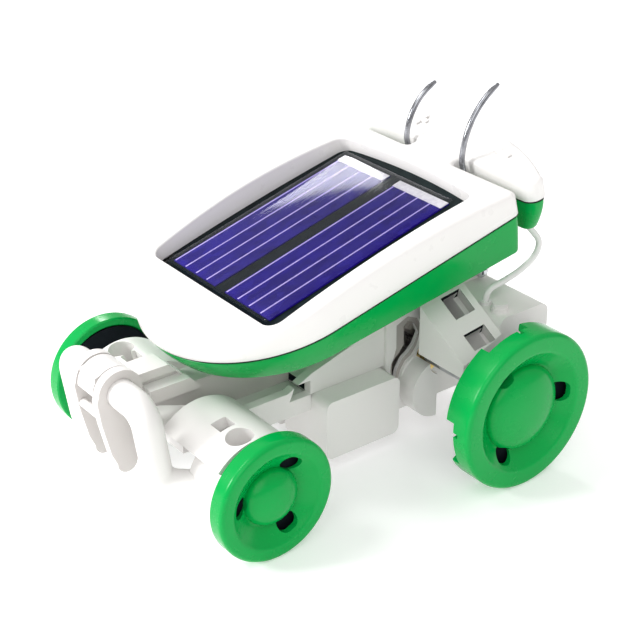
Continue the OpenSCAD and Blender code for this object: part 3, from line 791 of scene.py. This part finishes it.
def antenna(name, x, bend_r, turn, node):
    """A thin spring wire, straight out of the neck and then bent rearwards to a thin tip."""
    s, steps = 59.2, 30
    y, z = s * COS_TILT, MODULE_LIFT + s * SIN_TILT
    pts = [mod(x, s, n) for n in (-5.8, -4, -2, -1)]
    for i in range(steps + 1):
        a = math.radians(turn * i / steps)
        pts.append(car(x, y + bend_r * (1 - math.cos(a)), z + bend_r * math.sin(a)))
    radii = [0.55 * MM] * (len(pts) - 3) + [0.5 * MM, 0.38 * MM, 0.16 * MM]
    pts[-2] = pts[-1].lerp(pts[-2], 0.12)
    sweep(name, pts, radii, SPRING, (node,), sides=24)


module_cover()
module_base()
tail_base()
neck_block()
refine("seam_gasket", 0.0, BLACK)
seam_lip()
keep("polarity_marks", WHITE)
refine("solar_board", 0.0, BOARD)
cells()
resin()
antenna("antenna_wire_plus", -7.7, 10.4, 70, "antenna_plus")
antenna("antenna_wire_minus", 7.7, 14.6, 64, "antenna_minus")


# ---------- bent tube bumper ----------
def bend_points(p, a, b, r, k):
    """A round bend of radius r that leaves p along a and ends along b, both of length one."""
    along = a.dot(b)
    c = (b - a * along).normalized()
    turn = math.acos(along)
    return [p + r * ((1 - math.cos(turn * i / k)) * c + math.sin(turn * i / k) * a)
            for i in range(k + 1)]


def bumper():
    """Cross tube, two legs that lean back, and feet that turn in to the housings."""
    tube_r, bend_r, leg_x, leg_length, bend_steps = 2.6, 3.2, 12, 8.66, 18
    lean, turn_in = math.radians(8), math.radians(47)
    down = Vector((0, math.sin(lean), -math.cos(lean)))
    back = Vector((math.cos(turn_in), math.sin(turn_in), 0))
    end = Vector((leg_x - bend_r, *BAR))
    knee = Vector((leg_x, BAR[0] + bend_r * down.y, BAR[1] + bend_r * down.z))
    half = [Vector((end.x * i / 8, *BAR)) for i in range(8)]
    half += bend_points(end, Vector((1, 0, 0)), down, bend_r, bend_steps)
    half += [knee + down * leg_length * i / 6 for i in range(1, 6)]
    half += bend_points(knee + leg_length * down, down, back, bend_r, bend_steps)
    half += [half[-1] + back * 2.6, half[-1] + back * 5.1]
    line = [Vector((-p.x, p.y, p.z)) for p in reversed(half[1:])] + half
    sweep("bumper_tube", [car(*p) for p in line], tube_r * MM, FRAME_WHITE, ("bumper_bar",), sides=48,
          up=Vector((0, 1, 0)))


bumper()


# ---------- wheels ----------
def wheel_profile(face, radius, rim_in, dish, dome, drop, hub, deep, bore):
    """Half a section as (x, r), from the hub's inner end out over the rim and in to the dome."""
    web, low, top = face - drop - 1.3, face - drop - 0.85, face + 0.35
    prof = [(face - deep, bore + 0.15), (face - deep, hub - 0.15), (face - deep + 0.15, hub)]
    prof += [(web, hub), (web, dome + 0.3)]
    prof += [(face - 1.5, dish + 0.5), (face - 1.5, radius - 1.9), (face - 1.9, radius - 1.5)]
    prof += [(rim_in + 0.2, radius - 1.5), (rim_in, radius - 1.3)]
    prof += [(rim_in, radius - 0.25), (rim_in + 0.25, radius)]
    prof += [(rim_in + (face - 0.9 - rim_in) * t, radius) for t in (0.35, 0.7)]
    for degrees in range(0, 91, 9):
        a = math.radians(degrees)
        prof.append((face - 0.9 + 0.9 * math.sin(a), radius - 0.9 + 0.9 * math.cos(a)))
    # flat face, a soft roll into the dish, the dish's steep wall, a fillet, and the dome
    prof += [(face, dish + 1.1), (face - 0.04, dish + 0.8), (face - 0.16, dish + 0.5)]
    prof.append((face - 0.4, dish + 0.26))
    for t in (0.35, 0.7, 1.0):
        prof.append((face - 0.4 - (face - 0.4 - low - 0.35) * t,
                     dish + 0.26 - (dish - dome - 0.44) * t))
    prof += [(low + 0.14, dome + 0.42), (low + 0.03, dome + 0.2), (low, dome)]
    for i in range(1, 19):
        a = math.radians(90 * i / 19)
        prof.append((low + (top - low) * math.sin(a), dome * math.cos(a)))
    prof += [(top, 0.02), (face - 1.6, 0.02), (face - 1.6, bore)]
    return prof


def wheel(name, node, body, side, centre, shape, hole_at, hole_d, holes, gaps=()):
    """A wheel with round-ended holes at the given angles, and gaps in its rim.

    A gap is its first and last angle, its inner radius, and the x where it starts and ends."""
    verts, faces = revolve(wheel_profile(**shape), side, centre)
    o = plain(name, verts, faces)
    cutters = []
    slot = arc(hole_at, 0.5, hole_d / 2, 0, 180, 18) + arc(hole_at, -0.5, hole_d / 2, 180, 360, 18)
    for degrees in holes:
        ca, sa = math.cos(math.radians(degrees)), math.sin(math.radians(degrees))
        pts = [(centre[0] + u * ca - v * sa, centre[1] + u * sa + v * ca) for u, v in slot]
        cutters.append(prism_x("hole", pts, side * (shape["face"] - 6), side * (shape["face"] + 2)))
    for a0, a1, inner_r, x0, x1 in gaps:
        k = max(2, int((a1 - a0) / 3))
        pts = arc(*centre, inner_r, a0, a1, k) + arc(*centre, shape["radius"] + 1, a1, a0, k)
        cutters.append(prism_x("gap", pts, side * x0, side * x1))
    cut(o, cutters)
    return finish_mesh(o, GREEN, body, (node,), sharp=28)


FRONT_WHEEL = {"face": 28.6, "radius": 11.35, "rim_in": 25.1, "dish": 8.2, "dome": 5.3, "drop": 1.6,
               "hub": 2.8, "deep": 4, "bore": 1.3}
REAR_WHEEL = {"face": 37.75, "radius": 15, "rim_in": 31.9, "dish": 10.9, "dome": 8.2, "drop": 1.8,
              "hub": 3.4, "deep": 5.6, "bore": 1.5}
# four wide notches in the rim's inner half, and in each a narrow slit that runs further out
NOTCHES = [(84 + 90 * k, 120 + 90 * k, 12.4, 31, 34) for k in range(4)]
SLITS = [(92.5 + 90 * k - 1.6, 92.5 + 90 * k + 1.6, 12.5, 33, 35.1) for k in range(4)]

for side, word in ((1, "left"), (-1, "right")):
    wheel("front_wheel_" + word, "wheel_front_" + word, "front_%s_wheel" % word, side,
          (0, FRONT_AXLE_Z), FRONT_WHEEL, 6.5, 2.8, (55, 175, 295))
    wheel("rear_wheel_" + word, "wheel_rear_" + word, "rear_axle_set", side, REAR_AXLE, REAR_WHEEL,
          9.1, 3.1, (122, 2, -118), NOTCHES + SLITS)

# ---------- frame pieces: the CAD's shapes with rounded edges, and these edge widths ----------
EDGES = {"nose_beam": 0.3, "axle_housing_left": 0.4, "axle_housing_right": 0.4, "chassis_frame": 0.3,
         "centre_box": 0.9, "gear_case": 0.4, "gear_case_cover": 0.25, "shoulder_left": 0.3,
         "shoulder_right": 0.3, "motor_box": 0.7, "motor_box_cover": 0.25, "module_pedestal": 0.3,
         "front_clip": 0.25, "belly_plate": 0.25, "tow_link_plates": 0.4, "tow_link_bars": 0.15}
skins = {node: refine(node, width, FRAME_WHITE) for node, width in EDGES.items()}


def shade_faces():
    """Painted shade: near black on the inner faces of pockets, a darker grey on a recess floor, and a
    grey on faces where the plastic looks to the side.
    """
    slope = Vector((0.4776, -0.3355, 0.812))
    # painted shade: near black on the inner faces of the shoulders' windows, not on the sloped top
    for word, side in (("left", 1), ("right", -1)):
        x0, x1 = sorted((side * 10.4, side * 24.35))
        paint(skins["shoulder_" + word], DEEP_SHADE, [((x0, 44.25, 12), (x1, 50.75, 29.4))],
              [Vector((side * slope.x, slope.y, slope.z))])
    # painted shade: the recess floor beside the gear case slot
    paint(skins["gear_case_cover"], RECESS_SHADE, [((9.2, 39, 10), (9.6, 47.4, 24.5))])
    # painted shade: near black in two hollows of the chassis frame
    paint(skins["chassis_frame"], DEEP_SHADE,
          [((-9.2, 15, 12), (7.5, 24, 18)), ((2, -7, 14), (7.45, 5, 17))])
    everywhere, to_the_left = [((-99, -99, -9), (99, 99, 99))], Vector((1, 0, 0))
    # painted shade: grey on the link plates' and nose beam's faces that look to +X
    paint(skins["tow_link_plates"], SIDE_SHADE, everywhere, only=to_the_left)
    paint(skins["nose_beam"], SIDE_SHADE, everywhere, only=to_the_left)
    # painted shade: near black in the groove on the nose beam's side
    paint(skins["nose_beam"], DEEP_SHADE, [((2.6, -9, 21.3), (4.3, 1.4, 21.6))])


shade_faces()

# ---------- small and inner pieces: four get merged faces, the rest stay as they are ----------
SMOOTHED = ("rear_axle", "front_axle", "lead_gland", "lead_grommet")
# painted shade: the wheel backs are near-black discs that stand for the shade seen through the wheel
# holes
for node, mat in (("contact_clips", BRASS), ("module_screws", STEEL), ("front_axle", STEEL),
                  ("front_axle_rings", BRASS), ("frame_screws", STEEL), ("case_screws", STEEL),
                  ("axle_bushes", BRASS), ("motor_can", CAN), ("motor_end_cap", BLACK),
                  ("motor_terminals", BRASS), ("box_screws", FRAME_WHITE), ("motor_shaft", STEEL),
                  ("motor_pinion", BRASS), ("layshaft", STEEL), ("compound_gear", NYLON),
                  ("axle_gear", NYLON), ("rear_axle", STEEL), ("lead_gland", FRAME_WHITE),
                  ("lead_grommet", LEAD), ("rear_wheel_backs", DEEP_SHADE),
                  ("front_wheel_back_left", DEEP_SHADE), ("front_wheel_back_right", DEEP_SHADE)):
    if node in SMOOTHED:
        refine(node, 0.0, mat)
    else:
        keep(node, mat)


# ---------- wire from the tail to the motor box ----------
def spline(points, steps):
    """A smooth line through every point."""
    out, last = [], len(points) - 1
    for i in range(last):
        a, b = points[max(i - 1, 0)], points[i]
        c, d = points[i + 1], points[min(i + 2, last)]
        for j in range(steps):
            t = j / steps
            out.append(0.5 * (2 * b + (c - a) * t + (2 * a - 5 * b + 4 * c - d) * t * t
                              + (3 * b - a - 3 * c + d) * t ** 3))
    return out + [points[-1]]


def lead():
    route = [(16.2, 65, 40.4), (16.6, 66.6, 38.2), (18, 67.9, 35.6), (18.6, 66.4, 33.2),
             (19, 62.6, 31.6), (19, 58.6, 30.6), (18.7, 55.6, 29.8), (18.6, 54.5, 28.4),
             (18.6, 54.4, 26.4)]
    line = spline([Vector(p) for p in route], 10)
    sweep("module_wire", [car(*p) for p in line], 0.6 * MM, LEAD, ("solar_lead",), sides=20)


lead()


# ---------- floor and light ----------
def stage_floor():
    bm = bmesh.new()
    bmesh.ops.create_grid(bm, x_segments=1, y_segments=1, size=4)
    floor = from_bm(bm, "floor")
    m = Mat("pale_floor", rough=0.7, spec=0.1)
    m.colour(m.ramp(m.noise(6, 3), [(0.3, (0.90, 0.90, 0.905, 1)), (0.7, (0.92, 0.92, 0.925, 1))]))
    m.inputs["Emission Color"].default_value = (1, 1, 1, 1)
    m.inputs["Emission Strength"].default_value = 0.27
    floor.data.materials.append(m.material)
    floor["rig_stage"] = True


def studio():
    """A soft white room, darker at the horizon and below it."""
    world = bpy.data.worlds.new("studio")
    scene.world = world
    world.use_nodes = True
    tree = world.node_tree
    background = tree.nodes["Background"].inputs
    direction = tree.nodes.new("ShaderNodeTexCoord")
    split = tree.nodes.new("ShaderNodeSeparateXYZ")
    sky = tree.nodes.new("ShaderNodeValToRGB")
    low, high = sky.color_ramp.elements
    low.position, low.color = 0.0, (0.62, 0.605, 0.60, 1)
    high.position, high.color = 0.7, (0.98, 0.965, 0.955, 1)
    tree.links.new(direction.outputs["Generated"], split.inputs["Vector"])
    tree.links.new(split.outputs["Z"], sky.inputs["Fac"])
    tree.links.new(sky.outputs["Color"], background["Color"])
    background["Strength"].default_value = 0.72


def lamp(name, kind, energy):
    data = bpy.data.lights.new(name, kind)
    data.energy = energy
    o = bpy.data.objects.new(name, data)
    scene.collection.objects.link(o)
    return o


def area(name, at, target, size, power):
    o = lamp(name, "AREA", power)
    o.data.size = size
    o.location = Vector(at)
    o.rotation_euler = (Vector(target) - Vector(at)).to_track_quat("-Z", "Y").to_euler()
    return o


def strip(name, at, target, length, width, power, along):
    """A long soft box whose long side lies along a direction."""
    o = area(name, at, target, length, power)
    o.data.shape = "RECTANGLE"
    o.data.size_y = width
    z = (Vector(at) - Vector(target)).normalized()
    y = z.cross(Vector(along)).normalized()
    o.rotation_euler = Matrix((y.cross(z), y, z)).transposed().to_euler()


def sun(name, way, energy, angle):
    o = lamp(name, "SUN", energy)
    o.data.angle = math.radians(angle)
    o.rotation_euler = Vector(way).to_track_quat("-Z", "Y").to_euler()


def lights():
    """Two soft suns, two strips that the clear sheet mirrors, and a lamp for the treads."""
    sun("key", (0.36, 0.46, -0.81), 1.0, 20)
    sun("fill", (-0.62, 0.50, -0.60), 0.85, 50)
    cell_middle, sheen_along = (-0.012, 0.0, 0.045), (0.580, 0.636, 0.508)
    strip("sheen_wide", (-0.481, 0.217, 0.356), cell_middle, 0.15, 0.07, 0.30, sheen_along)
    strip("sheen_core", (-0.474, 0.221, 0.344), cell_middle, 0.14, 0.045, 0.40, sheen_along)
    area("tread_light", (-0.25, -0.55, 0.30), (0.0, 0.0, 0.02), 0.16, 2.7)


stage_floor()
studio()
lights()
scene.view_settings.view_transform = "Standard"

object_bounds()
